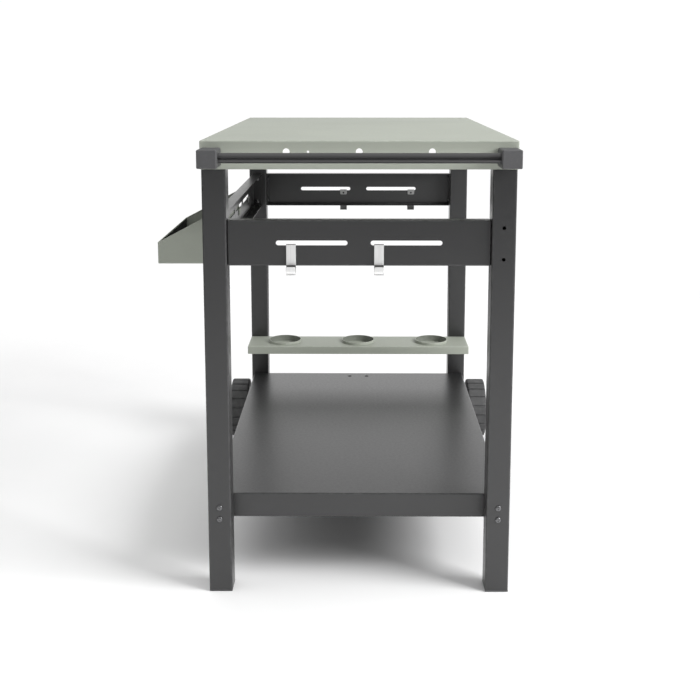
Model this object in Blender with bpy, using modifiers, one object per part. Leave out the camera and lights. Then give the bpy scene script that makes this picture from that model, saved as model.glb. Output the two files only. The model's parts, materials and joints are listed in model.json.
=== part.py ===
"""Potting bench: a steel table on two legs and two wheels, with hooks, a cup shelf and a hanging tray.

Metres, +Z up. X runs along the bench: the handle is at -X and the wheels are at +X.
Y runs across it: the open working side is at -Y (front) and the tray hangs at +Y (back).
The origin is on the floor, under the middle of the whole object's box.
"""

import math

import bmesh
import bpy
from mathutils import Matrix, Vector

# Driving dimensions of the bench
HEIGHT = 0.900
FRAME_LENGTH = 0.950
FRAME_WIDTH = 0.596
GAP = 0.0003
SHEET = 0.0015
BEND = 0.0025

# Square tube legs
LEG_SIDE = 0.046
LEG_WALL = 0.0015
LEG_CORNER = 0.003
THROUGH_CUT = LEG_SIDE * 1.2
WALL_CUT = LEG_SIDE * 0.4
SHEET_CUT = 0.008
CAP_FLANGE = 0.004
CAP_PLUG = 0.016
WHEEL_LEG_BOTTOM = 0.030

# Worktop: a folded sheet with a skirt
TOP_LENGTH = 0.954
TOP_WIDTH = 0.600
SKIRT = 0.054
TOP_HOLE_RADIUS = 0.0065
TOP_HOLE_Z = 0.879
TOP_HOLE_PITCH = 0.137
SMALL_HOLE_RADIUS = 0.0022
SMALL_HOLE_Y = 0.096
STIFFENER_WIDTH = 0.060
STIFFENER_DEPTH = 0.020

# Slotted panels at both ends, and the slotted apron along the back
PANEL_RECESS = 0.008
PANEL_BOTTOM = 0.660
PANEL_TOP = 0.748
PANEL_FLANGE = 0.025
SLOT_LENGTH = 0.137
SLOT_HEIGHT = 0.0094
SLOT_Z = 0.7043
END_SLOT_Y = 0.0905
APRON_SLOT_PITCH = 0.158
PANEL_BOLT_RISE = 0.0305

# Lower shelf
SHELF_TOP = 0.187
SHELF_DEPTH = 0.049
SHELF_WIDTH = 0.582
SHELF_HOLE_RADIUS = 0.0055
SHELF_HOLE_X = 0.398
SHELF_HOLE_Y = 0.0235
SHELF_BOLT_Z = (0.1755, 0.1515)

# Cup shelf on the wheel-end legs
CUP_SHELF_TOP = 0.293
CUP_SHELF_DEPTH = 0.021
CUP_SHELF_REACH = 0.111
CUP_SHELF_WIDTH = 0.596
CUP_PITCH = 0.200
CUP_RADIUS = 0.0415
CUP_WALL = 0.0025
CUP_RIM = 0.0070
CUP_DROP = 0.0105
CUP_STEPS = 28
DRAIN_RADIUS = 0.0025
DRAIN_PITCH = 0.021
CUP_BOLT_Z = 0.2815

# Handle: a round bar between two end brackets
BRACKET_REACH = 0.0647
BRACKET_OUTER_Y = 0.2968
BRACKET_WIDTH = 0.0372
BRACKET_BOTTOM = 0.8525
BRACKET_TOP = 0.8870
BRACKET_ROUND = 0.003
BAR_RADIUS = 0.00965
BAR_BORE = 0.0103
BAR_STANDOFF = 0.040
BAR_Z = 0.8704
BAR_INSET = 0.022
BRACKET_HOLE_DEPTH = 0.018

# Wheels on fixed axles
WHEEL_RADIUS = 0.080
WHEEL_WIDTH = 0.050
WHEEL_SPACE = 0.009
WHEEL_X = 0.452
RIM_RADIUS = 0.060
LUGS = 20
LUG_DEPTH = 0.0025
LUG_SHARE = 0.80
AXLE_RADIUS = 0.006
AXLE_BORE = 0.0063
HUB_RADIUS = 0.015
HUB_LENGTH = 0.041
RIM_INNER_RADIUS = 0.052
RIM_START = 0.003
RIM_END = 0.047
WEB_START = 0.022
WEB_END = 0.028
AXLE_HEAD_RADIUS = 0.0095
AXLE_HEAD = 0.004
SPACER_RADIUS = 0.010
AXLE_TAIL = 0.012
NUT_RADIUS = 0.0105
NUT_HEIGHT = 0.008
HUB_CAP_RADIUS = 0.0178
HUB_CAP_INSIDE = 0.0472
HUB_CAP_TOP = 0.0492
WHEEL_STEPS = 24

# Hooks: bent flat strap
STRAP_WIDTH = 0.0184
STRAP_THICK = 0.002
HOOK_BOTTOM = 0.6436
HOOK_BEND_RADIUS = 0.0080
HOOK_LIP = 0.008
HOOK_TAB = 0.0125
HOOK_ARC_STEPS = 10

# Hanging tray
TRAY_START = -0.270
TRAY_LENGTH = 0.370
TRAY_OUTER_Y = 0.422
TRAY_BOTTOM = 0.6276
TRAY_LIP = 0.6730
TRAY_BACK = 0.7415
TRAY_TAB_WIDTH = 0.030
TRAY_TAB_DROP = 0.016

# Fasteners
BOLT_RADIUS = 0.003
BOLT_HOLE = 0.0036
BOLT_HEAD_RADIUS = 0.0056
PANEL_BOLT = 0.008
WORKTOP_BOLT = 0.012
CUP_SHELF_BOLT = 0.009
BOLT_HEAD = 0.0032
BOLT_STEPS = 8

# Places worked out from the dimensions above
LEG_X = (FRAME_LENGTH - LEG_SIDE) / 2
LEG_Y = (FRAME_WIDTH - LEG_SIDE) / 2
LEG_INNER_X = FRAME_LENGTH / 2 - LEG_SIDE
LEG_INNER_Y = FRAME_WIDTH / 2 - LEG_SIDE
LEG_TOP = HEIGHT - SHEET - 0.0005
PANEL_X = FRAME_LENGTH / 2 - PANEL_RECESS
APRON_Y = FRAME_WIDTH / 2 - PANEL_RECESS
PANEL_MIDDLE = (PANEL_BOTTOM + PANEL_TOP) / 2
BRACKET_BACK_X = -TOP_LENGTH / 2 - GAP
BRACKET_TIP_X = BRACKET_BACK_X - BRACKET_REACH
BAR_X = -TOP_LENGTH / 2 - BAR_STANDOFF
BRACKET_Y = BRACKET_OUTER_Y - BRACKET_WIDTH / 2
WHEEL_TIP_X = WHEEL_X + WHEEL_RADIUS
WHEEL_INNER_Y = FRAME_WIDTH / 2 + WHEEL_SPACE
WHEEL_OUTER_Y = WHEEL_INNER_Y + WHEEL_WIDTH
SIDES = (("front", -1), ("back", 1))
ENDS = (("handle", -1), ("wheel", 1))

MERGE = 0.00005


def clear_scene():
    for existing in list(bpy.data.objects):
        bpy.data.objects.remove(existing, do_unlink=True)


def make_collection(name):
    collection = bpy.data.collections.new(name)
    bpy.context.scene.collection.children.link(collection)
    return collection


def make_material(name, colour, roughness, metallic):
    material = bpy.data.materials.new(name)
    material.use_nodes = True
    shader = material.node_tree.nodes["Principled BSDF"]
    shader.inputs["Base Color"].default_value = (*colour, 1.0)
    shader.inputs["Roughness"].default_value = roughness
    shader.inputs["Metallic"].default_value = metallic
    return material


clear_scene()
BENCH = make_collection("potting_bench")
CUTTERS = make_collection("cutters")
BENCH_EMPTY = bpy.data.objects.new("bench_origin", None)
BENCH_EMPTY.location = (
    -(BRACKET_TIP_X + WHEEL_TIP_X) / 2,
    -(TRAY_OUTER_Y - WHEEL_OUTER_Y) / 2,
    0,
)
BENCH.objects.link(BENCH_EMPTY)

SAGE = make_material("sage_green", (0.36, 0.40, 0.33), 0.5, 0.0)
GRAPHITE = make_material("graphite_coat", (0.05, 0.05, 0.052), 0.5, 0.0)
BLACK_PLASTIC = make_material("black_plastic", (0.055, 0.055, 0.057), 0.6, 0.0)
HOOK_STEEL = make_material("hook_steel", (0.75, 0.75, 0.74), 0.3, 1.0)
BOLT_STEEL = make_material("bolt_steel", (0.08, 0.08, 0.08), 0.35, 1.0)
TYRE_RUBBER = make_material("tyre_rubber", (0.03, 0.03, 0.03), 0.8, 0.0)
RIM_PLASTIC = make_material("rim_plastic", (0.06, 0.06, 0.062), 0.5, 0.0)


def add_object(name, data, material, parent=BENCH_EMPTY):
    piece = bpy.data.objects.new(name, data)
    piece.parent = parent
    data.materials.append(material)
    BENCH.objects.link(piece)
    return piece


def fill_box(bm, low, high):
    low = Vector(low)
    high = Vector(high)
    place = Matrix.Translation((low + high) / 2)
    return bmesh.ops.create_cube(bm, size=1, matrix=place @ Matrix.Diagonal((*(high - low), 1)))["verts"]


def mesh_from(bm, name):
    mesh = bpy.data.meshes.new(name)
    bmesh.ops.recalc_face_normals(bm, faces=bm.faces)
    bm.to_mesh(mesh)
    bm.free()
    return mesh


def side_faces(bm, direction):
    direction = Vector(direction)
    bm.normal_update()
    return [face for face in bm.faces if face.normal.dot(direction) > 0.99]


def folded_box(name, low, high, open_sides, material, parent=BENCH_EMPTY, bend=BEND, sheet=SHEET):
    """A box folded from sheet metal, open at the given sides."""
    bm = bmesh.new()
    fill_box(bm, low, high)
    for direction in open_sides:
        bmesh.ops.delete(bm, geom=side_faces(bm, direction), context="FACES")
    mesh = bpy.data.meshes.new(name)
    bm.to_mesh(mesh)
    bm.free()
    piece = add_object(name, mesh, material, parent)
    fold = piece.modifiers.new("fold", "BEVEL")
    fold.width = bend
    fold.segments = 2
    wall = piece.modifiers.new("sheet", "SOLIDIFY")
    wall.thickness = sheet
    wall.offset = -1
    return piece


def axis_turn(axis):
    """Rotation that takes local +Z to the given world axis."""
    return Vector((0, 0, 1)).rotation_difference(Vector(axis)).to_matrix().to_4x4()


def add_pin(bm, centre, axis, radius, length, steps):
    """A round pin, centred on a point, for a cutter."""
    place = Matrix.Translation(Vector(centre)) @ axis_turn(axis)
    bmesh.ops.create_cone(
        bm, cap_ends=True, segments=steps, radius1=radius, radius2=radius, depth=length, matrix=place
    )


def add_slot(bm, centre, size):
    """A block with its edges through the sheet rounded to a full radius, for a cutter."""
    centre = Vector(centre)
    half = Vector(size) / 2
    through = min(range(2), key=lambda i: size[i])
    corners = fill_box(bm, centre - half, centre + half)
    edges = {edge for vert in corners for edge in vert.link_edges}
    along = [
        edge for edge in edges
        if abs((edge.verts[0].co - edge.verts[1].co).normalized()[through]) > 0.9
    ]
    bmesh.ops.bevel(
        bm, geom=along, offset=size[2] * 0.499, offset_type="OFFSET", segments=5, profile=0.5,
        affect="EDGES", clamp_overlap=False,
    )


def add_cutter(piece, name, bm, operation="DIFFERENCE"):
    """Cut a shape out of a piece, or join it to the piece."""
    cutter = bpy.data.objects.new(name, mesh_from(bm, name))
    cutter.parent = piece.parent
    cutter.hide_render = True
    cutter.display_type = "WIRE"
    CUTTERS.objects.link(cutter)
    cut = piece.modifiers.new(name, "BOOLEAN")
    cut.operation = operation
    cut.solver = "EXACT"
    cut.object = cutter
    return cutter


def turned(name, profile, steps, material, location, axis, parent=BENCH_EMPTY):
    """A turned piece: a profile of (radius, height) points, swept round the given axis."""
    mesh = bpy.data.meshes.new(name)
    count = len(profile)
    closed = profile[0][0] > 0
    edges = [(i, i + 1) for i in range(count - 1)]
    if closed:
        edges.append((count - 1, 0))
    mesh.from_pydata([(radius, 0, height) for radius, height in profile], edges, [])
    piece = add_object(name, mesh, material, parent)
    piece.location = location
    piece.rotation_euler = axis_turn(axis).to_euler()
    sweep = piece.modifiers.new("turn", "SCREW")
    sweep.steps = steps
    sweep.render_steps = steps
    sweep.use_merge_vertices = True
    sweep.merge_threshold = MERGE
    sweep.use_smooth_shade = True
    return piece


def make_bolt(name, location, axis, length, parent=BENCH_EMPTY):
    """A button head bolt; the axis points out of its head, and the location is under the head."""
    profile = [
        (0, BOLT_HEAD),
        (BOLT_HEAD_RADIUS * 0.75, BOLT_HEAD),
        (BOLT_HEAD_RADIUS, BOLT_HEAD * 0.35),
        (BOLT_HEAD_RADIUS, 0),
        (BOLT_RADIUS, 0),
        (BOLT_RADIUS, -length),
        (0, -length),
    ]
    return turned(name, profile, BOLT_STEPS, BOLT_STEEL, location, axis, parent)


def make_leg(name, x_side, y_side, bottom):
    """A square tube leg, open at both ends, with its own bolt holes."""
    x = x_side * LEG_X
    y = y_side * LEG_Y
    half = LEG_SIDE / 2
    bm = bmesh.new()
    fill_box(bm, (-half, -half, bottom), (half, half, LEG_TOP))
    bmesh.ops.delete(bm, geom=side_faces(bm, (0, 0, 1)) + side_faces(bm, (0, 0, -1)), context="FACES")
    mesh = bpy.data.meshes.new(name)
    bm.to_mesh(mesh)
    bm.free()
    leg = add_object(name, mesh, GRAPHITE)
    leg.location = (x, y, 0)
    corner = leg.modifiers.new("corner", "BEVEL")
    corner.width = LEG_CORNER
    corner.segments = 3
    wall = leg.modifiers.new("wall", "SOLIDIFY")
    wall.thickness = LEG_WALL
    wall.offset = -1
    cuts = bmesh.new()
    for z in SHELF_BOLT_Z:
        add_pin(cuts, (x, y, z), (1, 0, 0), BOLT_HOLE, THROUGH_CUT, BOLT_STEPS)
    inner_y = y - y_side * half
    inner_x = x - x_side * half
    bolt_x = x_side * (PANEL_X - PANEL_FLANGE / 2)
    for rise in (-PANEL_BOLT_RISE, PANEL_BOLT_RISE):
        z = PANEL_MIDDLE + rise
        add_pin(cuts, (bolt_x, inner_y, z), (0, 1, 0), BOLT_HOLE, WALL_CUT, BOLT_STEPS)
        if y_side > 0:
            apron_bolt_y = APRON_Y - PANEL_FLANGE / 2
            add_pin(cuts, (inner_x, apron_bolt_y, z), (1, 0, 0), BOLT_HOLE, WALL_CUT, BOLT_STEPS)
        if y_side < 0 and x_side < 0:
            spare_x = x - half
            add_pin(cuts, (spare_x, y, z), (1, 0, 0), BOLT_HOLE, WALL_CUT, BOLT_STEPS)
    add_pin(cuts, (x, y, BAR_Z), (1, 0, 0), BOLT_HOLE, THROUGH_CUT, BOLT_STEPS)
    if x_side > 0:
        add_pin(cuts, (x, y, WHEEL_RADIUS), (0, 1, 0), AXLE_BORE, THROUGH_CUT, 2 * BOLT_STEPS)
        add_pin(cuts, (inner_x, y, CUP_BOLT_Z), (1, 0, 0), BOLT_HOLE, WALL_CUT, BOLT_STEPS)
    add_cutter(leg, name + "_holes", cuts)
    return leg


def make_tube_end(name, x, y, bottom):
    """A moulded cap: a flange under the tube, and a plug inside it."""
    half = LEG_SIDE / 2
    plug = half - LEG_WALL - GAP
    bm = bmesh.new()
    fill_box(bm, (-half, -half, 0), (half, half, CAP_FLANGE))
    mesh = mesh_from(bm, name)
    cap = add_object(name, mesh, BLACK_PLASTIC)
    cap.location = (x, y, bottom)
    corner = cap.modifiers.new("corner", "BEVEL")
    corner.width = 0.0015
    corner.segments = 2
    bm = bmesh.new()
    fill_box(
        bm,
        (x - plug + LEG_CORNER / 2, y - plug + LEG_CORNER / 2, bottom + CAP_FLANGE / 2),
        (x + plug - LEG_CORNER / 2, y + plug - LEG_CORNER / 2, bottom + CAP_PLUG),
    )
    add_cutter(cap, name + "_plug", bm, "UNION")
    return cap


def make_worktop():
    half_length = TOP_LENGTH / 2
    half_width = TOP_WIDTH / 2
    top = folded_box(
        "worktop",
        (-half_length, -half_width, HEIGHT - SKIRT),
        (half_length, half_width, HEIGHT),
        [(0, 0, -1)],
        SAGE,
    )
    cuts = bmesh.new()
    for step in (-1, 0, 1):
        add_pin(
            cuts, (-half_length, step * TOP_HOLE_PITCH, TOP_HOLE_Z), (1, 0, 0), TOP_HOLE_RADIUS, 0.01, 20
        )
    add_pin(cuts, (-half_length, SMALL_HOLE_Y, TOP_HOLE_Z), (1, 0, 0), SMALL_HOLE_RADIUS, 0.01, 12)
    for x_side in (-1, 1):
        for y_side in (-1, 1):
            place = (x_side * half_length, y_side * LEG_Y, BAR_Z)
            add_pin(cuts, place, (1, 0, 0), BOLT_HOLE, 0.01, BOLT_STEPS)
    add_cutter(top, "worktop_holes", cuts)
    under = HEIGHT - SHEET - GAP
    folded_box(
        "worktop_stiffener",
        (-STIFFENER_WIDTH / 2, -half_width + 2 * SHEET + 0.001, under - STIFFENER_DEPTH),
        (STIFFENER_WIDTH / 2, half_width - 2 * SHEET - 0.001, under),
        [(0, 0, 1), (0, 1, 0), (0, -1, 0)],
        GRAPHITE,
    )


def make_end_panel(name, x_side):
    """A folded panel between the two legs of one end, open towards the middle, with two slots."""
    outer = PANEL_X * x_side
    inner = outer - x_side * PANEL_FLANGE
    half = LEG_INNER_Y - GAP
    low = (min(outer, inner), -half, PANEL_BOTTOM)
    high = (max(outer, inner), half, PANEL_TOP)
    panel = folded_box(name, low, high, [(-x_side, 0, 0)], GRAPHITE)
    cuts = bmesh.new()
    for y_side in (-1, 1):
        add_slot(cuts, (outer, y_side * END_SLOT_Y, SLOT_Z), (0.01, SLOT_LENGTH, SLOT_HEIGHT))
        for rise in (-PANEL_BOLT_RISE, PANEL_BOLT_RISE):
            place = ((outer + inner) / 2, y_side * half, PANEL_MIDDLE + rise)
            add_pin(cuts, place, (0, 1, 0), BOLT_HOLE, SHEET_CUT, BOLT_STEPS)
    add_cutter(panel, name + "_slots", cuts)
    return panel


def make_back_apron():
    """The slotted apron along the back, between the two back legs."""
    half = LEG_INNER_X - GAP
    inner = APRON_Y - PANEL_FLANGE
    apron = folded_box(
        "back_apron", (-half, inner, PANEL_BOTTOM), (half, APRON_Y, PANEL_TOP), [(0, -1, 0)], GRAPHITE
    )
    cuts = bmesh.new()
    for step in (-1.5, -0.5, 0.5, 1.5):
        add_slot(cuts, (step * APRON_SLOT_PITCH, APRON_Y, SLOT_Z), (SLOT_LENGTH, 0.01, SLOT_HEIGHT))
    for x_side in (-1, 1):
        for rise in (-PANEL_BOLT_RISE, PANEL_BOLT_RISE):
            place = (x_side * half, (APRON_Y + inner) / 2, PANEL_MIDDLE + rise)
            add_pin(cuts, place, (1, 0, 0), BOLT_HOLE, SHEET_CUT, BOLT_STEPS)
    add_cutter(apron, "back_apron_slots", cuts)


def make_lower_shelf():
    half = LEG_INNER_X - GAP
    shelf = folded_box(
        "lower_shelf",
        (-half, -SHELF_WIDTH / 2, SHELF_TOP - SHELF_DEPTH),
        (half, SHELF_WIDTH / 2, SHELF_TOP),
        [(0, 0, -1)],
        GRAPHITE,
    )
    cuts = bmesh.new()
    for y_side in (-1, 1):
        hole = (SHELF_HOLE_X, y_side * SHELF_HOLE_Y, SHELF_TOP)
        add_pin(cuts, hole, (0, 0, 1), SHELF_HOLE_RADIUS, 0.01, 16)
        for x_side in (-1, 1):
            for z in SHELF_BOLT_Z:
                add_pin(cuts, (x_side * half, y_side * LEG_Y, z), (1, 0, 0), BOLT_HOLE, 0.01, BOLT_STEPS)
    add_cutter(shelf, "lower_shelf_holes", cuts)


def make_cup_shelf():
    """A narrow shelf with three round cups, bolted to the inner faces of the wheel-end legs."""
    back = LEG_INNER_X - GAP
    front = back - CUP_SHELF_REACH
    half = CUP_SHELF_WIDTH / 2
    shelf = folded_box(
        "cup_shelf", (front, -half, CUP_SHELF_TOP - CUP_SHELF_DEPTH), (back, half, CUP_SHELF_TOP),
        [(0, 0, -1)], SAGE,
    )
    middle = (front + back) / 2
    cups = bmesh.new()
    hollows = bmesh.new()
    drains = bmesh.new()
    low = CUP_SHELF_TOP - CUP_DROP - SHEET
    high = CUP_SHELF_TOP + CUP_RIM
    for step in (-1, 0, 1):
        y = step * CUP_PITCH
        add_pin(cups, (middle, y, (low + high) / 2), (0, 0, 1), CUP_RADIUS + CUP_WALL, high - low, CUP_STEPS)
        floor = CUP_SHELF_TOP - CUP_DROP
        reach = 4 * CUP_DROP
        add_pin(hollows, (middle, y, floor + reach / 2), (0, 0, 1), CUP_RADIUS, reach, CUP_STEPS)
        for drain in (-1, 0, 1):
            place = (middle, y + drain * DRAIN_PITCH, floor)
            add_pin(drains, place, (0, 0, 1), DRAIN_RADIUS, 4 * SHEET, BOLT_STEPS)
    for y_side in (-1, 1):
        add_pin(hollows, (back, y_side * LEG_Y, CUP_BOLT_Z), (1, 0, 0), BOLT_HOLE, SHEET_CUT, BOLT_STEPS)
    add_cutter(shelf, "cup_shelf_cups", cups, "UNION")
    add_cutter(shelf, "cup_shelf_hollows", hollows)
    add_cutter(shelf, "cup_shelf_drains", drains)


def make_handle():
    bar_half = BRACKET_OUTER_Y - BRACKET_WIDTH + BAR_INSET
    curve = bpy.data.curves.new("handle_bar", "CURVE")
    curve.dimensions = "3D"
    curve.bevel_depth = BAR_RADIUS
    curve.bevel_resolution = 6
    curve.use_fill_caps = True
    run = curve.splines.new("POLY")
    run.points.add(1)
    run.points[0].co = (0, -bar_half, 0, 1)
    run.points[1].co = (0, bar_half, 0, 1)
    bar = add_object("handle_bar", curve, GRAPHITE)
    bar.location = (BAR_X, 0, BAR_Z)
    for side, sign in SIDES:
        half = Vector((BRACKET_REACH, BRACKET_WIDTH, BRACKET_TOP - BRACKET_BOTTOM)) / 2
        bm = bmesh.new()
        fill_box(bm, -half, half)
        name = "handle_bracket_" + side
        bracket = add_object(name, mesh_from(bm, name), BLACK_PLASTIC)
        centre = Vector((
            BRACKET_BACK_X - BRACKET_REACH / 2, sign * BRACKET_Y, (BRACKET_TOP + BRACKET_BOTTOM) / 2
        ))
        bracket.location = centre
        edge = bracket.modifiers.new("rounding", "BEVEL")
        edge.width = BRACKET_ROUND
        edge.segments = 2
        cuts = bmesh.new()
        bore_end = bar_half + 0.0005
        bore_start = BRACKET_OUTER_Y - BRACKET_WIDTH - 0.005
        bore_middle = sign * (bore_start + bore_end) / 2
        add_pin(cuts, (BAR_X, bore_middle, BAR_Z), (0, 1, 0), BAR_BORE, bore_end - bore_start, 24)
        depth = BRACKET_HOLE_DEPTH
        add_pin(cuts, (BRACKET_BACK_X, sign * LEG_Y, BAR_Z), (1, 0, 0), BOLT_HOLE, 2 * depth, BOLT_STEPS)
        add_cutter(bracket, name + "_bores", cuts)
        bolt_start = -LEG_INNER_X + GAP
        bolt_length = BRACKET_BACK_X - depth + 0.001
        make_bolt(
            "bracket_bolt_" + side, (bolt_start, sign * LEG_Y, BAR_Z), (1, 0, 0), bolt_start - bolt_length
        )


def make_frame_bolts():
    """Bolts through the shelf skirts, the panel ends, the apron ends and the worktop skirt."""
    outer_x = FRAME_LENGTH / 2 + GAP
    reach = LEG_SIDE + 0.006
    for end, x_side in ENDS:
        for side, y_side in SIDES:
            for level, z in zip(("upper", "lower"), SHELF_BOLT_Z):
                place = (x_side * outer_x, y_side * LEG_Y, z)
                make_bolt(f"shelf_bolt_{end}_{side}_{level}", place, (x_side, 0, 0), reach)
            for level, rise in (("upper", PANEL_BOLT_RISE), ("lower", -PANEL_BOLT_RISE)):
                place = (
                    x_side * (PANEL_X - PANEL_FLANGE / 2),
                    y_side * (LEG_INNER_Y - 2 * GAP - SHEET),
                    PANEL_MIDDLE + rise,
                )
                make_bolt(f"panel_bolt_{end}_{side}_{level}", place, (0, -y_side, 0), PANEL_BOLT)
        for level, rise in (("upper", PANEL_BOLT_RISE), ("lower", -PANEL_BOLT_RISE)):
            place = (
                x_side * (LEG_INNER_X - 2 * GAP - SHEET), APRON_Y - PANEL_FLANGE / 2, PANEL_MIDDLE + rise
            )
            make_bolt(f"apron_bolt_{end}_{level}", place, (-x_side, 0, 0), PANEL_BOLT)
    for side, y_side in SIDES:
        outside = TOP_LENGTH / 2 + GAP
        make_bolt(f"worktop_bolt_{side}", (outside, y_side * LEG_Y, BAR_Z), (1, 0, 0), WORKTOP_BOLT)
        inside = LEG_INNER_X - 2 * GAP - SHEET
        make_bolt(f"cup_shelf_bolt_{side}", (inside, y_side * LEG_Y, CUP_BOLT_Z), (-1, 0, 0), CUP_SHELF_BOLT)


def make_wheel(side, y_side):
    """A moulded rim with a ribbed tyre, a bolt for its axle, a nut and a hub cap."""
    axle = bpy.data.objects.new("wheel_axis_" + side, None)
    axle.parent = BENCH_EMPTY
    axle.location = (WHEEL_X, y_side * WHEEL_INNER_Y, WHEEL_RADIUS)
    axle.rotation_euler = axis_turn((0, y_side, 0)).to_euler()
    BENCH.objects.link(axle)

    rim_profile = [
        (AXLE_BORE + GAP, 0),
        (AXLE_BORE + GAP, HUB_LENGTH),
        (HUB_RADIUS, HUB_LENGTH),
        (HUB_RADIUS, WEB_END),
        (RIM_INNER_RADIUS, WEB_END),
        (RIM_INNER_RADIUS, RIM_END),
        (RIM_RADIUS, RIM_END),
        (RIM_RADIUS, RIM_START),
        (RIM_INNER_RADIUS, RIM_START),
        (RIM_INNER_RADIUS, WEB_START),
        (HUB_RADIUS, WEB_START),
        (HUB_RADIUS, 0),
    ]
    turned("rim_" + side, rim_profile, WHEEL_STEPS, RIM_PLASTIC, (0, 0, 0), (0, 0, 1), axle)

    outline = bpy.data.curves.new("tyre_" + side, "CURVE")
    outline.dimensions = "2D"
    outline.fill_mode = "BOTH"
    outline.extrude = WHEEL_WIDTH / 2
    tread = []
    lug_angle = 2 * math.pi / LUGS
    for lug in range(LUGS):
        start = lug * lug_angle
        land = lug_angle * LUG_SHARE
        for share, radius in (
            (0, WHEEL_RADIUS), (land / 2, WHEEL_RADIUS), (land, WHEEL_RADIUS),
            (land + 0.1 * lug_angle, WHEEL_RADIUS - LUG_DEPTH),
        ):
            tread.append((radius * math.cos(start + share), radius * math.sin(start + share)))
    steps = 2 * WHEEL_STEPS
    seat_radius = RIM_RADIUS + GAP
    seat = [
        (seat_radius * math.cos(2 * math.pi * i / steps), seat_radius * math.sin(2 * math.pi * i / steps))
        for i in range(steps)
    ]
    for ring in (tread, seat):
        spline = outline.splines.new("POLY")
        spline.points.add(len(ring) - 1)
        spline.use_cyclic_u = True
        for point, (u, v) in zip(spline.points, ring):
            point.co = (u, v, 0, 1)
    tyre = add_object("tyre_" + side, outline, TYRE_RUBBER, axle)
    tyre.location = (0, 0, WHEEL_WIDTH / 2)

    through = -(WHEEL_SPACE + LEG_SIDE)
    head = HUB_LENGTH + GAP
    axle_profile = [
        (0, head + AXLE_HEAD),
        (AXLE_HEAD_RADIUS, head + AXLE_HEAD),
        (AXLE_HEAD_RADIUS, head),
        (AXLE_RADIUS, head),
        (AXLE_RADIUS, -GAP),
        (SPACER_RADIUS, -GAP),
        (SPACER_RADIUS, GAP - WHEEL_SPACE),
        (AXLE_RADIUS, GAP - WHEEL_SPACE),
        (AXLE_RADIUS, through - AXLE_TAIL),
        (0, through - AXLE_TAIL),
    ]
    turned("axle_" + side, axle_profile, WHEEL_STEPS, BOLT_STEEL, (0, 0, 0), (0, 0, 1), axle)
    nut_bore = AXLE_RADIUS / math.cos(math.pi / 6) + GAP
    nut_profile = [
        (nut_bore, through - NUT_HEIGHT),
        (nut_bore, through - GAP),
        (NUT_RADIUS, through - GAP),
        (NUT_RADIUS, through - NUT_HEIGHT),
    ]
    nut = turned("axle_nut_" + side, nut_profile, 6, BOLT_STEEL, (0, 0, 0), (0, 0, 1), axle)
    nut.modifiers["turn"].use_smooth_shade = False
    cap_start = WEB_END + GAP
    cap_profile = [
        (0, HUB_CAP_TOP),
        (HUB_CAP_RADIUS * 0.56, HUB_CAP_TOP),
        (HUB_CAP_RADIUS * 0.96, HUB_CAP_TOP - 0.0014),
        (HUB_CAP_RADIUS, HUB_CAP_TOP - 0.0027),
        (HUB_CAP_RADIUS, cap_start),
        (HUB_RADIUS + GAP, cap_start),
        (HUB_RADIUS + GAP, HUB_CAP_INSIDE),
        (0, HUB_CAP_INSIDE),
    ]
    turned("hub_cap_" + side, cap_profile, WHEEL_STEPS, RIM_PLASTIC, (0, 0, 0), (0, 0, 1), axle)


def hook_centreline():
    """Middle of the strap: (outward, height) from the panel's outer face, from tab to lip."""
    half = STRAP_THICK / 2
    inside = -(SHEET + GAP + half)
    outside = GAP + half
    saddle = SLOT_Z - SLOT_HEIGHT / 2 + GAP + half
    arc_z = HOOK_BOTTOM + half + HOOK_BEND_RADIUS
    points = [(inside, saddle - HOOK_TAB), (inside, saddle), (outside, saddle), (outside, arc_z)]
    for step in range(1, HOOK_ARC_STEPS + 1):
        angle = math.pi * step / HOOK_ARC_STEPS
        points.append((
            outside + HOOK_BEND_RADIUS * (1 - math.cos(angle)), arc_z - HOOK_BEND_RADIUS * math.sin(angle)
        ))
    points.append((outside + 2 * HOOK_BEND_RADIUS, arc_z + HOOK_LIP))
    return points


def strap_outline(centreline, thickness):
    """Closed outline of a strap of even thickness along a centreline, with mitred corners."""
    left = []
    right = []
    count = len(centreline)
    for i, point in enumerate(centreline):
        before = Vector(centreline[max(i - 1, 0)])
        here = Vector(point)
        after = Vector(centreline[min(i + 1, count - 1)])
        into = (here - before).normalized() if i else (after - here).normalized()
        out = (after - here).normalized() if i < count - 1 else into
        across = Vector((-into.y - out.y, into.x + out.x)).normalized()
        reach = thickness / 2 / across.dot(Vector((-into.y, into.x)))
        left.append(here + across * reach)
        right.append(here - across * reach)
    return left + right[::-1]


def make_hook(name, location, outward, parent=BENCH_EMPTY):
    """A J hook of bent strap that hangs in a slot; its origin is on the panel's outer face."""
    curve = bpy.data.curves.new(name, "CURVE")
    curve.dimensions = "2D"
    curve.fill_mode = "BOTH"
    curve.extrude = STRAP_WIDTH / 2
    outline = strap_outline(hook_centreline(), STRAP_THICK)
    spline = curve.splines.new("POLY")
    spline.points.add(len(outline) - 1)
    spline.use_cyclic_u = True
    for point, (u, v) in zip(spline.points, outline):
        point.co = (u, v, 0, 1)
    hook = add_object(name, curve, HOOK_STEEL, parent)
    hook.location = location
    outward = Vector(outward)
    up = Vector((0, 0, 1))
    turn = Matrix((outward, up, outward.cross(up))).transposed()
    hook.rotation_euler = turn.to_euler()
    return hook


def make_hooks():
    places = {
        "hook_handle_back": ((-PANEL_X, 0.130, 0), (-1, 0, 0)),
        "hook_handle_front": ((-PANEL_X, -0.038, 0), (-1, 0, 0)),
        "hook_wheel_back": ((PANEL_X, 0.041, 0), (1, 0, 0)),
        "hook_wheel_front": ((PANEL_X, -0.146, 0), (1, 0, 0)),
        "hook_apron": ((0.292, APRON_Y, 0), (0, 1, 0)),
    }
    for name, (location, outward) in places.items():
        make_hook(name, location, outward)


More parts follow.
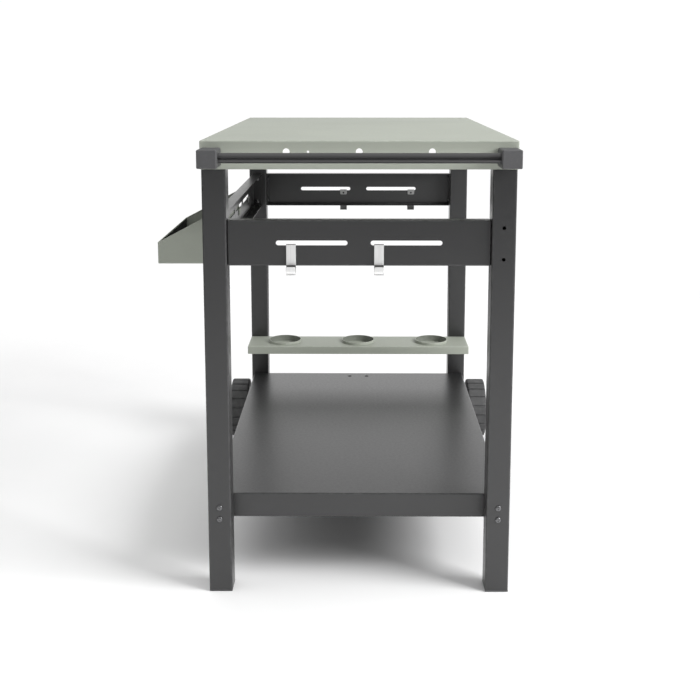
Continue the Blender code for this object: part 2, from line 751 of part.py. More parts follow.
def make_tray():
    """An open tray with a low outer lip, hung in the apron's slots by two tabs on its back."""
    back = APRON_Y + 0.0005
    bm = bmesh.new()
    fill_box(bm, (TRAY_START, back, TRAY_BOTTOM), (TRAY_START + TRAY_LENGTH, TRAY_OUTER_Y, TRAY_BACK))
    for vert in bm.verts:
        if vert.co.z > TRAY_LIP and vert.co.y > (back + TRAY_OUTER_Y) / 2:
            vert.co.z = TRAY_LIP
    bm.normal_update()
    slope = [face for face in bm.faces if 0.1 < face.normal.y < 0.9]
    bmesh.ops.delete(bm, geom=slope, context="FACES")
    mesh = bpy.data.meshes.new("tray")
    bm.to_mesh(mesh)
    bm.free()
    tray = add_object("tray", mesh, SAGE)
    fold = tray.modifiers.new("fold", "BEVEL")
    fold.width = 0.002
    fold.segments = 2
    wall = tray.modifiers.new("sheet", "SOLIDIFY")
    wall.thickness = SHEET
    wall.offset = -1
    slot_bottom = SLOT_Z - SLOT_HEIGHT / 2
    tab_inner = APRON_Y - SHEET - GAP
    middle = TRAY_START + TRAY_LENGTH / 2 + 0.006
    for side, step in (("handle", -1), ("wheel", 1)):
        x = middle + step * APRON_SLOT_PITCH
        half = TRAY_TAB_WIDTH / 2
        bm = bmesh.new()
        low = slot_bottom + GAP
        fill_box(bm, (x - half, tab_inner - 2 * SHEET, low), (x + half, back + SHEET * 0.8, low + SHEET))
        arm = bmesh.new()
        fill_box(
            arm,
            (x - half, tab_inner - SHEET, low - TRAY_TAB_DROP),
            (x + half, tab_inner, low + SHEET * 0.6),
        )
        add_cutter(tray, f"tray_tab_{side}", bm, "UNION")
        add_cutter(tray, f"tray_tab_{side}_drop", arm, "UNION")


def build_bench():
    make_worktop()
    for end, x_side in ENDS:
        for side, y_side in SIDES:
            bottom = CAP_FLANGE if x_side < 0 else WHEEL_LEG_BOTTOM + CAP_FLANGE
            make_leg(f"leg_{end}_{side}", x_side, y_side, bottom + GAP)
    for side, y_side in SIDES:
        make_tube_end("foot_" + side, -LEG_X, y_side * LEG_Y, 0)
        make_tube_end("leg_cap_" + side, LEG_X, y_side * LEG_Y, WHEEL_LEG_BOTTOM)
        make_wheel(side, y_side)
    for end, x_side in ENDS:
        make_end_panel("end_panel_" + end, x_side)
    make_back_apron()
    make_lower_shelf()
    make_cup_shelf()
    make_handle()
    make_frame_bolts()
    make_hooks()
    make_tray()


build_bench()
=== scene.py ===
import json
import math

import bmesh
import bpy
from mathutils import Matrix, Vector


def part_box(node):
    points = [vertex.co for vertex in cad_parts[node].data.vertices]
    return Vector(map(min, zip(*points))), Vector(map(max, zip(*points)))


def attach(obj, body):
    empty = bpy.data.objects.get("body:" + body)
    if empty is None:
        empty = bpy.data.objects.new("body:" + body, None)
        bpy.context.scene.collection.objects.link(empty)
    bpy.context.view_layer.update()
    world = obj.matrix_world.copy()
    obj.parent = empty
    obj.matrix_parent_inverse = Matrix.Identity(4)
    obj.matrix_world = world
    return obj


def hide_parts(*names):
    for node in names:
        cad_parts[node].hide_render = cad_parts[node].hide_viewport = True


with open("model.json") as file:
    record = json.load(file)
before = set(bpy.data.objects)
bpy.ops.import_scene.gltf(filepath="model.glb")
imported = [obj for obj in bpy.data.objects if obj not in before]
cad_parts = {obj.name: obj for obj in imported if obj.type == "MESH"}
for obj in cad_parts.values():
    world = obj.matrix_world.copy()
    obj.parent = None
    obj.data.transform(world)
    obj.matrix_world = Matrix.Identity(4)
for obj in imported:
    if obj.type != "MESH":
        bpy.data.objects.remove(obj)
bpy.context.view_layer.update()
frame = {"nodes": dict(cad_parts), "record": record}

# Sizes that the frame's boxes don't give, in metres

# Sheet, and what fastens it
SHEET = 0.0015
BEND = 0.0025
LEG_BEND = 0.0035
GAP = 0.0003
SHEET_CUT = 0.01
SLOT_CUT = 0.012
FASTENER_HOLE = 0.0036
AXLE_HOLE = 0.0063
BOLT_HEAD = 0.0032
BOLT_HEAD_RADIUS = 0.0056
BOLT_RADIUS = 0.003
BOLT_TIP = 0.0006
SOCKET_RADIUS = 0.0021
SOCKET_DEPTH = 0.0018

# Holes and slots
TOP_HOLE_RADIUS = 0.0065
TOP_HOLE_PITCH = 0.137
TOP_HOLE_Z = 0.879
SMALL_HOLE_RADIUS = 0.0022
SMALL_HOLE_Y = 0.096
SPARE_HOLE_Z = (0.6735, 0.7345)
SHELF_HOLE_RADIUS = 0.0055
SHELF_HOLE_X = 0.398
SHELF_HOLE_Y = 0.0235
SLOT_LENGTH = 0.137
SLOT_HEIGHT = 0.0094
SLOT_Z = 0.7043
END_SLOT_Y = 0.0905
APRON_SLOT_PITCH = 0.158

# Cups
CUP_RADIUS = 0.0415
CUP_WALL = 0.0025
CUP_RIM = 0.0070
CUP_DROP = 0.0105
CUP_PITCH = 0.200
CUP_CORNER = 0.003
DRAIN_RADIUS = 0.0025
DRAIN_PITCH = 0.021

# Handle
GROOVE_ANGLE = math.radians(187)
GROOVE_DEPTH = 0.0022
GROOVE_HALF_WIDTH = 0.0019
BAR_CHAMFER = 0.001
BAR_CLEARANCE = 0.0006
BRACKET_ROUND = 0.0022

# Feet and caps in the tubes
CAP_FLANGE = 0.004
CAP_ROUND = 0.0014
CAP_CLEARANCE = 0.0015
CAP_POCKET = 0.016
CAP_POCKET_PITCH = 0.019

# Wheels, with heights along the axle from the tyre's inner face
LUGS = 20
TYRE_SEAT = 0.0603
HUB_LENGTH = 0.041
HUB_RADIUS = 0.015
HUB_BORE = 0.0066
RIM_RADIUS = 0.060
RIM_INNER = 0.052
RIM_START = 0.003
RIM_END = 0.047
WEB_START = 0.022
WEB_END = 0.028
RIM_FILLET = 0.0015
RIM_CHAMFER = 0.0006
RIBS = 8
RIB_HALF_THICK = 0.0016
RIB_END = 0.0525
OUTER_RIB = (0.0188, 0.0270, 0.0400)
INNER_RIB = (0.0145, 0.0080, 0.0230)
HUB_CAP_RADIUS = 0.0178
HUB_CAP_INNER = 0.0153
HUB_CAP_INSIDE = 0.0472
HUB_CAP_TOP = 0.0492
AXLE_RADIUS = 0.006
AXLE_HEAD_RADIUS = 0.0095
AXLE_HEAD = 0.004
AXLE_TAIL = 0.012
SPACER_RADIUS = 0.010
SPACER_LENGTH = 0.009
LEG_OUTSIDE = -0.055
NUT_RADIUS = 0.0105
NUT_HEIGHT = 0.008
NUT_CHAMFER = 0.0008
NUT_BORE = 0.0064

# Hooks
STRAP_THICK = 0.002
STRAP_EDGE = 0.00065
HOOK_BOTTOM = 0.6436
HOOK_BEND = 0.008
HOOK_CORNER = 0.0012
HOOK_TAB = 0.0125
HOOK_LIP = 0.008
TAB_HOLE_RADIUS = 0.0028
TAB_HOLE_DROP = 0.0065
TIP_STEPS = (0.0, 0.0003, 0.0012, 0.003)
TIP_INSETS = (0.0028, 0.0012, 0.0004)
MOUTH_TOP = 0.6620
MOUTH_HEIGHT = 0.007
MOUTH_REACH = 0.006

# Tray
TRAY_LIP = 0.6730
TRAY_BEND = 0.002
TRAY_STANDOFF = 0.0005
TRAY_TAB_OFFSET = 0.006
TRAY_TAB_HALF = 0.015
TRAY_TAB_DROP = 0.016
BEAD_RADIUS = 0.0011
BEAD_CORNER = 0.0035
LINER_CLEARANCE = 0.0004
LINER_SHEET = 0.0008
LINER_BEND = 0.0015

# How dark painted shade makes a face, from 0 to 1
# Painted shade inside the cups, on their inner walls and floors
CUP_WALL_PAINTED_SHADE = 0.70
CUP_FLOOR_PAINTED_SHADE = 0.12
# Painted shade on the hooks, where the strap lies in shade
TAB_PAINTED_SHADE = 0.62
SADDLE_PAINTED_SHADE = 0.80
BACK_PAINTED_SHADE = 0.93
MOUTH_PAINTED_SHADE = 0.88

SMOOTH_ANGLE = math.radians(32)

scene = bpy.context.scene
record = frame["record"]
BODY_OF = {node: body for body, nodes in record["behaviour"]["bodies"].items() for node in nodes}
SLOT_OF = {node: cad.data.materials[0].name.split(".")[0] for node, cad in frame["nodes"].items()}

top_low, top_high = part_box("worktop")
ORIGIN = Vector(((top_low.x + top_high.x) / 2, (top_low.y + top_high.y) / 2, 0))


def at(x, y, z):
    """A point given from the middle of the bench."""
    return ORIGIN + Vector((x, y, z))


# ---------------------------------------------------------------- materials


class Nodes:
    """A material's node tree, with short ways to add and join nodes."""

    def __init__(self, name):
        self.material = bpy.data.materials.new(name)
        self.material.use_nodes = True
        self.tree = self.material.node_tree
        self.shader = self.tree.nodes["Principled BSDF"]
        self.coords = self.tree.nodes.new("ShaderNodeTexCoord").outputs["Object"]

    def link(self, start, end):
        self.tree.links.new(start, end)

    def noise(self, scale, detail=2.0, stretch=None, roughness=0.5):
        node = self.tree.nodes.new("ShaderNodeTexNoise")
        node.inputs["Scale"].default_value = scale
        node.inputs["Detail"].default_value = detail
        node.inputs["Roughness"].default_value = roughness
        source = self.coords
        if stretch:
            mapping = self.tree.nodes.new("ShaderNodeMapping")
            mapping.inputs["Scale"].default_value = stretch
            self.link(source, mapping.inputs["Vector"])
            source = mapping.outputs["Vector"]
        self.link(source, node.inputs["Vector"])
        return node.outputs["Fac"]

    def ramp(self, source, low, high, start, end):
        """Maps source from low..high to start..end, which may be numbers or colours."""
        if isinstance(start, (int, float)):
            node = self.tree.nodes.new("ShaderNodeMapRange")
            node.inputs["From Min"].default_value = low
            node.inputs["From Max"].default_value = high
            node.inputs["To Min"].default_value = start
            node.inputs["To Max"].default_value = end
            self.link(source, node.inputs["Value"])
            return node.outputs["Result"]
        node = self.tree.nodes.new("ShaderNodeValToRGB")
        node.color_ramp.elements[0].position = low
        node.color_ramp.elements[0].color = (*start, 1)
        node.color_ramp.elements[1].position = high
        node.color_ramp.elements[1].color = (*end, 1)
        self.link(source, node.inputs["Fac"])
        return node.outputs["Color"]

    def mix(self, factor, first, second):
        node = self.tree.nodes.new("ShaderNodeMix")
        node.data_type = "RGBA"
        self.link(factor, node.inputs["Factor"])
        for socket, value in zip((node.inputs[6], node.inputs[7]), (first, second)):
            if isinstance(value, tuple):
                socket.default_value = (*value, 1)
            else:
                self.link(value, socket)
        return node.outputs[2]

    def multiply(self, first, second):
        node = self.tree.nodes.new("ShaderNodeMath")
        node.operation = "MULTIPLY"
        self.link(first, node.inputs[0])
        if isinstance(second, (int, float)):
            node.inputs[1].default_value = second
        else:
            self.link(second, node.inputs[1])
        return node.outputs[0]

    def bump(self, height, strength, distance, before=None):
        node = self.tree.nodes.new("ShaderNodeBump")
        node.inputs["Strength"].default_value = strength
        node.inputs["Distance"].default_value = distance
        self.link(height, node.inputs["Height"])
        if before:
            self.link(before, node.inputs["Normal"])
        return node.outputs["Normal"]

    def attribute(self, name):
        node = self.tree.nodes.new("ShaderNodeAttribute")
        node.attribute_name = name
        return node.outputs["Fac"]


def scaled(colour, factor):
    return tuple(min(1.0, channel * factor) for channel in colour)


def powder_coat(name, colour, roughness, peel, peel_depth, tone, worn, ior, specular):
    """Sprayed powder coat: orange peel, cloudy tone, rubbed bends, dust specks, and painted shade on the
    faces marked for it.
    """
    n = Nodes(name)
    clouds = n.noise(5.0, 4.0)
    base = n.ramp(clouds, 0.3, 0.7, scaled(colour, 1 - tone), scaled(colour, 1 + tone))
    specks = n.ramp(n.noise(1400.0, 1.0), 0.66, 0.74, 0.0, 0.16)
    speckled = n.mix(specks, base, scaled(colour, 1.7))
    rubbed = n.ramp(n.noise(60.0, 5.0, roughness=0.7), 0.42, 0.66, 0.0, 0.55)
    wear = n.multiply(n.attribute("edge_wear"), rubbed)
    # Painted shade: faces given a shade value are darkened towards a fifth of the coat's colour
    grime = n.multiply(n.attribute("grime"), n.ramp(n.noise(70.0, 4.0), 0.2, 0.8, 0.75, 1.0))
    n.link(n.mix(grime, n.mix(wear, speckled, worn), scaled(colour, 0.2)), n.shader.inputs["Base Color"])
    sheen = n.ramp(n.noise(150.0, 4.0), 0.3, 0.7, roughness - 0.035, roughness + 0.04)
    n.link(sheen, n.shader.inputs["Roughness"])
    fine = n.bump(n.noise(peel, 2.0), 0.5, peel_depth)
    n.link(n.bump(n.noise(peel * 3.1, 1.0), 0.35, peel_depth * 0.35, fine), n.shader.inputs["Normal"])
    n.shader.inputs["IOR"].default_value = ior
    n.shader.inputs["Specular IOR Level"].default_value = specular
    return n.material


def moulded(name, colour, roughness, grain, depth):
    """Moulded plastic with a spark-eroded grain."""
    n = Nodes(name)
    base = n.ramp(n.noise(9.0, 3.0), 0.3, 0.7, scaled(colour, 0.9), scaled(colour, 1.12))
    dust = n.ramp(n.noise(180.0, 4.0), 0.55, 0.75, 0.0, 0.18)
    n.link(n.mix(dust, base, scaled(colour, 1.9)), n.shader.inputs["Base Color"])
    n.link(n.ramp(n.noise(45.0), 0.3, 0.7, roughness - 0.06, roughness + 0.06), n.shader.inputs["Roughness"])
    n.link(n.bump(n.noise(grain, 2.0), 0.6, depth), n.shader.inputs["Normal"])
    return n.material


def bare_metal(name, colour, roughness, stretch, depth, metallic):
    """Plated or blackened steel, drawn along one direction, with painted shade darkening the faces marked for
    it.
    """
    n = Nodes(name)
    n.shader.inputs["Metallic"].default_value = metallic
    lines = n.noise(420.0, 3.0, stretch)
    drawn = n.ramp(lines, 0.3, 0.7, scaled(colour, 0.94), scaled(colour, 1.03))
    # Painted shade: marked faces are darkened almost to black
    n.link(n.mix(n.attribute("grime"), drawn, scaled(colour, 0.06)), n.shader.inputs["Base Color"])
    n.link(n.ramp(lines, 0.25, 0.75, roughness - 0.05, roughness + 0.08), n.shader.inputs["Roughness"])
    n.link(n.bump(lines, 0.4, depth), n.shader.inputs["Normal"])
    return n.material


def rubber(name, colour):
    """Tyre rubber: a matt skin with dust in the tread and a fine mould grain."""
    n = Nodes(name)
    skin = n.ramp(n.noise(14.0, 4.0), 0.3, 0.7, scaled(colour, 0.85), scaled(colour, 1.2))
    dust = n.ramp(n.noise(90.0, 5.0, roughness=0.65), 0.48, 0.72, 0.0, 0.35)
    n.link(n.mix(dust, skin, scaled(colour, 2.2)), n.shader.inputs["Base Color"])
    n.link(n.ramp(n.noise(50.0), 0.3, 0.7, 0.62, 0.80), n.shader.inputs["Roughness"])
    ribs = n.bump(n.noise(260.0, 3.0), 0.5, 0.0003)
    n.link(n.bump(n.noise(1500.0, 1.0), 0.4, 0.0001, ribs), n.shader.inputs["Normal"])
    return n.material


SAGE = (0.400, 0.425, 0.368)
SAGE_WORN = (0.50, 0.52, 0.47)
GRAPHITE = (0.024, 0.024, 0.0248)
GRAPHITE_WORN = (0.070, 0.070, 0.071)
MATERIALS = {
    "sage_green": powder_coat(
        "sage_powder_coat", SAGE, roughness=0.54, peel=620.0, peel_depth=0.00022, tone=0.035,
        worn=SAGE_WORN, ior=1.45, specular=0.36,
    ),
    "graphite_coat": powder_coat(
        "graphite_powder_coat", GRAPHITE, roughness=0.34, peel=900.0, peel_depth=0.00010, tone=0.035,
        worn=GRAPHITE_WORN, ior=1.65, specular=0.5,
    ),
    "black_plastic": moulded(
        "grained_plastic", (0.080, 0.080, 0.083), roughness=0.52, grain=1100.0, depth=0.00018
    ),
    "hook_steel": bare_metal(
        "plated_steel", (0.94, 0.94, 0.935), roughness=0.34, stretch=(1.0, 1.0, 0.06), depth=0.000006,
        metallic=0.60,
    ),
    "bolt_steel": bare_metal(
        "black_oxide_steel", (0.19, 0.19, 0.195), roughness=0.28, stretch=(1.0, 1.0, 1.0), depth=0.00005,
        metallic=1.0,
    ),
    "tyre_rubber": rubber("tyre_rubber", (0.075, 0.075, 0.076)),
    "rim_plastic": moulded("rim_plastic", (0.036, 0.036, 0.038), roughness=0.45, grain=800.0, depth=0.00015),
}
# Near-black matt plastic for the sheet laid inside the tray
LINER = moulded("dark_liner", (0.010, 0.0115, 0.0095), roughness=0.80, grain=700.0, depth=0.0003)

for node, cad in frame["nodes"].items():
    cad.data.materials.clear()
    cad.data.materials.append(MATERIALS[SLOT_OF[node]])


# ---------------------------------------------------------------- mesh helpers


def fill_box(bm, low, high):
    low = Vector(low)
    high = Vector(high)
    place = Matrix.Translation((low + high) / 2) @ Matrix.Diagonal((*(high - low), 1))
    return bmesh.ops.create_cube(bm, size=1, matrix=place)["verts"]


def axis_turn(axis):
    """Rotation that takes +Z to the given axis."""
    return Vector((0, 0, 1)).rotation_difference(Vector(axis)).to_matrix().to_4x4()


def add_pin(bm, centre, axis, radius, length, steps=28):
    place = Matrix.Translation(Vector(centre)) @ axis_turn(axis)
    bmesh.ops.create_cone(
        bm, cap_ends=True, segments=steps, radius1=radius, radius2=radius, depth=length, matrix=place
    )


def add_slot(bm, centre, along, through):
    """A slot cutter with round ends: the full length along one axis, through another, upright."""
    centre = Vector(centre)
    along = Vector(along)
    radius = SLOT_HEIGHT / 2
    reach = SLOT_LENGTH / 2 - radius
    outline = []
    for end, start in ((1, -90), (-1, 90)):
        for step in range(13):
            angle = math.radians(start + step * 15)
            outline.append(
                centre + along * (end * reach + radius * math.cos(angle))
                + Vector((0, 0, radius * math.sin(angle)))
            )
    half = Vector(through) * SLOT_CUT / 2
    near = [bm.verts.new(point - half) for point in outline]
    far = [bm.verts.new(point + half) for point in outline]
    count = len(outline)
    bm.faces.new(near)
    bm.faces.new(far)
    for i in range(count):
        j = (i + 1) % count
        bm.faces.new((near[i], near[j], far[j], far[i]))


def lathe(bm, profile, steps, place, closed=False):
    """Sweeps (radius, height) points round an axis; a point on the axis makes a pole."""
    rings = []
    for radius, height in profile:
        count = 1 if radius < 1e-7 else steps
        rings.append([
            bm.verts.new(place @ Vector((
                radius * math.cos(2 * math.pi * i / steps), radius * math.sin(2 * math.pi * i / steps), height
            )))
            for i in range(count)
        ])
    pairs = list(zip(rings, rings[1:]))
    if closed:
        pairs.append((rings[-1], rings[0]))
    for first, second in pairs:
        for i in range(steps):
            j = (i + 1) % steps
            corners = (
                first[i % len(first)], first[j % len(first)], second[j % len(second)], second[i % len(second)]
            )
            bm.faces.new(list(dict.fromkeys(corners)))


def new_object(name, bm):
    mesh = bpy.data.meshes.new(name)
    bmesh.ops.recalc_face_normals(bm, faces=bm.faces)
    bm.to_mesh(mesh)
    bm.free()
    piece = bpy.data.objects.new(name, mesh)
    scene.collection.objects.link(piece)
    return piece


def with_boolean(piece, operation, bm):
    """Cuts, or joins on, a shape; the result replaces the piece's own mesh."""
    tool = new_object("tool", bm)
    step = piece.modifiers.new("step", "BOOLEAN")
    step.operation = operation
    step.solver = "EXACT"
    step.object = tool
    applied(piece)
    bpy.data.objects.remove(tool)


def applied(piece):
    """Replaces the piece's mesh with what its modifiers make of it."""
    depsgraph = bpy.context.evaluated_depsgraph_get()
    mesh = bpy.data.meshes.new_from_object(piece.evaluated_get(depsgraph))
    piece.modifiers.clear()
    piece.data = mesh
    return piece


def rounded(piece, width, segments):
    """Rounds every edge of a block."""
    edge = piece.modifiers.new("edge", "BEVEL")
    edge.width = width
    edge.segments = segments
    applied(piece)


def sheet_piece(name, bm, bend, sheet):
    """An open box of faces, with its folds rounded and its walls given their thickness inwards."""
    mesh = bpy.data.meshes.new(name)
    bm.to_mesh(mesh)
    bm.free()
    piece = bpy.data.objects.new(name, mesh)
    scene.collection.objects.link(piece)
    fold = piece.modifiers.new("fold", "BEVEL")
    fold.width = bend
    fold.segments = 4
    wall = piece.modifiers.new("wall", "SOLIDIFY")
    wall.thickness = sheet
    wall.offset = -1
    return applied(piece)


def skin(bm, rings):
    """Joins each ring of corners to the next one, and caps both ends."""
    for first, second in zip(rings, rings[1:]):
        for i in range(len(first)):
            j = (i + 1) % len(first)
            bm.faces.new((first[i], first[j], second[j], second[i]))
    bm.faces.new(rings[0])
    bm.faces.new(rings[-1])


def mark_wear(mesh):
    """Marks the faces of bends and cut edges, where the coat rubs thin."""
    values = [0.0 if max(abs(c) for c in face.normal) > 0.995 else 1.0 for face in mesh.polygons]
    wear = mesh.attributes.new("edge_wear", "FLOAT", "FACE")
    wear.data.foreach_set("value", values)


def mark_painted_shade(mesh, amount):
    """Stores how much painted shade darkens each face; amount(centre, normal) gives it."""
    values = [amount(face.center, face.normal) for face in mesh.polygons]
    grime = mesh.attributes.new("grime", "FLOAT", "FACE")
    grime.data.foreach_set("value", values)


def settle(piece, node=None, slot=None, body=None, material=None, worn=False):
    """Shades a finished piece, gives it its material, parents it to its body and hides the CAD node it stands
    for, if any.
    """
    mesh = piece.data
    mesh.materials.clear()
    mesh.materials.append(material or MATERIALS[slot or SLOT_OF[node]])
    for face in mesh.polygons:
        face.material_index = 0
    if worn:
        mark_wear(mesh)
    mesh.shade_smooth()
    mesh.set_sharp_from_angle(angle=SMOOTH_ANGLE)
    weighted = piece.modifiers.new("weighted", "WEIGHTED_NORMAL")
    weighted.keep_sharp = True
    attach(piece, body or BODY_OF[node])
    if node:
        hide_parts(node)


FASTENERS = []
for node in frame["nodes"]:
    x_side = -1 if "handle" in node else 1
    y_side = -1 if "front" in node else 1
    if node.startswith("shelf_bolt"):
        FASTENERS.append((node, Vector((x_side, 0, 0)), FASTENER_HOLE))
    elif node.startswith("panel_bolt"):
        FASTENERS.append((node, Vector((0, -y_side, 0)), FASTENER_HOLE))
    elif node.startswith("apron_bolt"):
        FASTENERS.append((node, Vector((-x_side, 0, 0)), FASTENER_HOLE))
    elif node.startswith(("worktop_bolt", "bracket_bolt")):
        FASTENERS.append((node, Vector((1, 0, 0)), FASTENER_HOLE))
    elif node.startswith("cup_shelf_bolt"):
        FASTENERS.append((node, Vector((-1, 0, 0)), FASTENER_HOLE))
THROUGH = FASTENERS + [(f"axle_{side}", Vector((0, 1, 0)), AXLE_HOLE) for side in ("front", "back")]


def fastener_holes(node, bm):
    """Adds the bores of the fasteners that pass through a node."""
    low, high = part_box(node)
    for fastener, axis, radius in THROUGH:
        start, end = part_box(fastener)
        if all(start[i] < high[i] and end[i] > low[i] for i in range(3)):
            middle = (start + end) / 2
            extent = abs((end - start).dot(axis))
            add_pin(bm, middle, axis, radius, extent + 0.001)


def folded(node, open_sides, bend=BEND, high=None, cuts=None):
    """A box of folded sheet in the place of a CAD node, with its fastener holes and its own cuts."""
    box_low, box_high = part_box(node)
    bm = bmesh.new()
    fill_box(bm, box_low, high or box_high)
    bm.normal_update()
    for direction in open_sides:
        gone = [face for face in bm.faces if face.normal.dot(Vector(direction)) > 0.99]
        bmesh.ops.delete(bm, geom=gone, context="FACES")
    piece = sheet_piece(node + "_look", bm, bend, SHEET)
    cuts = cuts or bmesh.new()
    fastener_holes(node, cuts)
    if cuts.verts:
        with_boolean(piece, "DIFFERENCE", cuts)
    return piece


# ---------------------------------------------------------------- sheet metal


def build_worktop():
    cuts = bmesh.new()
    skirt_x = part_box("worktop")[0].x
    for step in (-1, 0, 1):
        place = (skirt_x, ORIGIN.y + step * TOP_HOLE_PITCH, TOP_HOLE_Z)
        add_pin(cuts, place, (1, 0, 0), TOP_HOLE_RADIUS, SHEET_CUT, 32)
    place = (skirt_x, ORIGIN.y + SMALL_HOLE_Y, TOP_HOLE_Z)
    add_pin(cuts, place, (1, 0, 0), SMALL_HOLE_RADIUS, SHEET_CUT, 16)
    settle(folded("worktop", [(0, 0, -1)], cuts=cuts), "worktop", worn=True)
    settle(folded("worktop_stiffener", [(0, 0, 1), (0, 1, 0), (0, -1, 0)]), "worktop_stiffener", worn=True)


def build_legs():
    for end in ("handle", "wheel"):
        for side in ("front", "back"):
            node = f"leg_{end}_{side}"
            cuts = bmesh.new()
            low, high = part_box(node)
            if node == "leg_handle_front":
                for z in SPARE_HOLE_Z:
                    add_pin(cuts, (low.x, (low.y + high.y) / 2, z), (1, 0, 0), FASTENER_HOLE, SLOT_CUT)
            settle(folded(node, [(0, 0, 1), (0, 0, -1)], bend=LEG_BEND, cuts=cuts), node, worn=True)


def build_panels():
    for end, sign in (("handle", -1), ("wheel", 1)):
        node = "end_panel_" + end
        low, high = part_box(node)
        face = low.x if sign < 0 else high.x
        cuts = bmesh.new()
        for step in (-1, 1):
            add_slot(cuts, (face, ORIGIN.y + step * END_SLOT_Y, SLOT_Z), (0, 1, 0), (1, 0, 0))
        settle(folded(node, [(-sign, 0, 0)], cuts=cuts), node, worn=True)
    low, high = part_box("back_apron")
    cuts = bmesh.new()
    for step in (-1.5, -0.5, 0.5, 1.5):
        add_slot(cuts, (ORIGIN.x + step * APRON_SLOT_PITCH, high.y, SLOT_Z), (1, 0, 0), (0, 1, 0))
    settle(folded("back_apron", [(0, -1, 0)], cuts=cuts), "back_apron", worn=True)


def build_lower_shelf():
    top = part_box("lower_shelf")[1].z
    cuts = bmesh.new()
    for sign in (-1, 1):
        place = at(SHELF_HOLE_X, sign * SHELF_HOLE_Y, top)
        add_pin(cuts, place, (0, 0, 1), SHELF_HOLE_RADIUS, SHEET_CUT)
    settle(folded("lower_shelf", [(0, 0, -1)], cuts=cuts), "lower_shelf", worn=True)


def build_cup_shelf():
    """A folded shelf with three pressed cups; each has a rolled rim and drain holes."""
    low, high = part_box("cup_shelf")
    surface = high.z - CUP_RIM
    middle = (low.x + high.x) / 2
    cuts = bmesh.new()
    centres = [Vector((middle, ORIGIN.y + step * CUP_PITCH, surface)) for step in (-1, 0, 1)]
    for centre in centres:
        add_pin(cuts, centre, (0, 0, 1), CUP_RADIUS + 0.0014, 0.012, 64)
    piece = folded("cup_shelf", [(0, 0, -1)], high=(high.x, high.y, surface), cuts=cuts)
    outer = CUP_RADIUS + CUP_WALL
    crown = CUP_WALL / 2
    bend = CUP_CORNER * 0.3
    under = -CUP_DROP - SHEET
    profile = [
        (0, under), (outer - CUP_CORNER, under), (outer - bend, under + bend), (outer, under + CUP_CORNER)
    ]
    for degrees in range(0, 181, 30):
        angle = math.radians(degrees)
        profile.append((
            CUP_RADIUS + crown + crown * math.cos(angle), CUP_RIM - crown + crown * math.sin(angle)
        ))
    floor = -CUP_DROP
    profile += [
        (CUP_RADIUS, floor + CUP_CORNER), (CUP_RADIUS - bend, floor + bend), (CUP_RADIUS - CUP_CORNER, floor),
        (CUP_RADIUS - 0.012, floor), (CUP_RADIUS - 0.0135, floor + 0.0006), (0, floor + 0.0006),
    ]
    cups = bmesh.new()
    drains = bmesh.new()
    for centre in centres:
        lathe(cups, profile, 64, Matrix.Translation(centre))
        for step in (-1, 0, 1):
            spot = centre + Vector((0, step * DRAIN_PITCH, floor))
            add_pin(drains, spot, (0, 0, 1), DRAIN_RADIUS, 0.008, 20)
    with_boolean(piece, "UNION", cups)
    with_boolean(piece, "DIFFERENCE", drains)
    settle(piece, "cup_shelf", worn=True)

    def amount(spot, normal):
        """Painted shade: the inner walls are darkened a lot, and the floors a little."""
        inside = any((spot.xy - centre.xy).length < CUP_RADIUS + 0.0006 for centre in centres)
        if not inside or spot.z < surface + floor - GAP:
            return 0.0
        return CUP_WALL_PAINTED_SHADE if abs(normal.z) < 0.8 else CUP_FLOOR_PAINTED_SHADE

    # The cups' inner walls and floors get painted shade
    mark_painted_shade(piece.data, amount)


# ---------------------------------------------------------------- handle and ends of tubes


def build_handle():
    """A round bar with a shallow groove along its outer side, between two moulded brackets."""
    low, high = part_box("handle_bar")
    centre = (low + high) / 2
    radius = (high.z - low.z) / 2
    outline = []
    steps = 72
    for i in range(steps):
        angle = 2 * math.pi * i / steps
        apart = abs((angle - GROOVE_ANGLE + math.pi) % (2 * math.pi) - math.pi) * radius
        depth = GROOVE_DEPTH * max(0.0, 1 - (apart / GROOVE_HALF_WIDTH) ** 2) ** 0.5
        outline.append(((radius - depth) * math.cos(angle), (radius - depth) * math.sin(angle)))
    bm = bmesh.new()
    rings = []
    stations = (
        (low.y, BAR_CHAMFER), (low.y + BAR_CHAMFER, 0.0), (high.y - BAR_CHAMFER, 0.0), (high.y, BAR_CHAMFER)
    )
    for y, inset in stations:
        share = (radius - inset) / radius
        rings.append([bm.verts.new((centre.x + x * share, y, centre.z + z * share)) for x, z in outline])
    skin(bm, rings)
    settle(new_object("handle_bar_look", bm), "handle_bar")
    for side, sign in (("front", -1), ("back", 1)):
        node = "handle_bracket_" + side
        low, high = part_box(node)
        bm = bmesh.new()
        fill_box(bm, low, high)
        piece = new_object(node + "_look", bm)
        rounded(piece, BRACKET_ROUND, 4)
        cuts = bmesh.new()
        bar_low, bar_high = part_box("handle_bar")
        inner = high.y if sign < 0 else low.y
        deep = bar_low.y - 0.0005 if sign < 0 else bar_high.y + 0.0005
        reach = abs(inner - deep) + 0.004
        place = (centre.x, deep - sign * reach / 2, centre.z)
        add_pin(cuts, place, (0, 1, 0), radius + BAR_CLEARANCE, reach, 48)
        fastener_holes(node, cuts)
        with_boolean(piece, "DIFFERENCE", cuts)
        settle(piece, node)


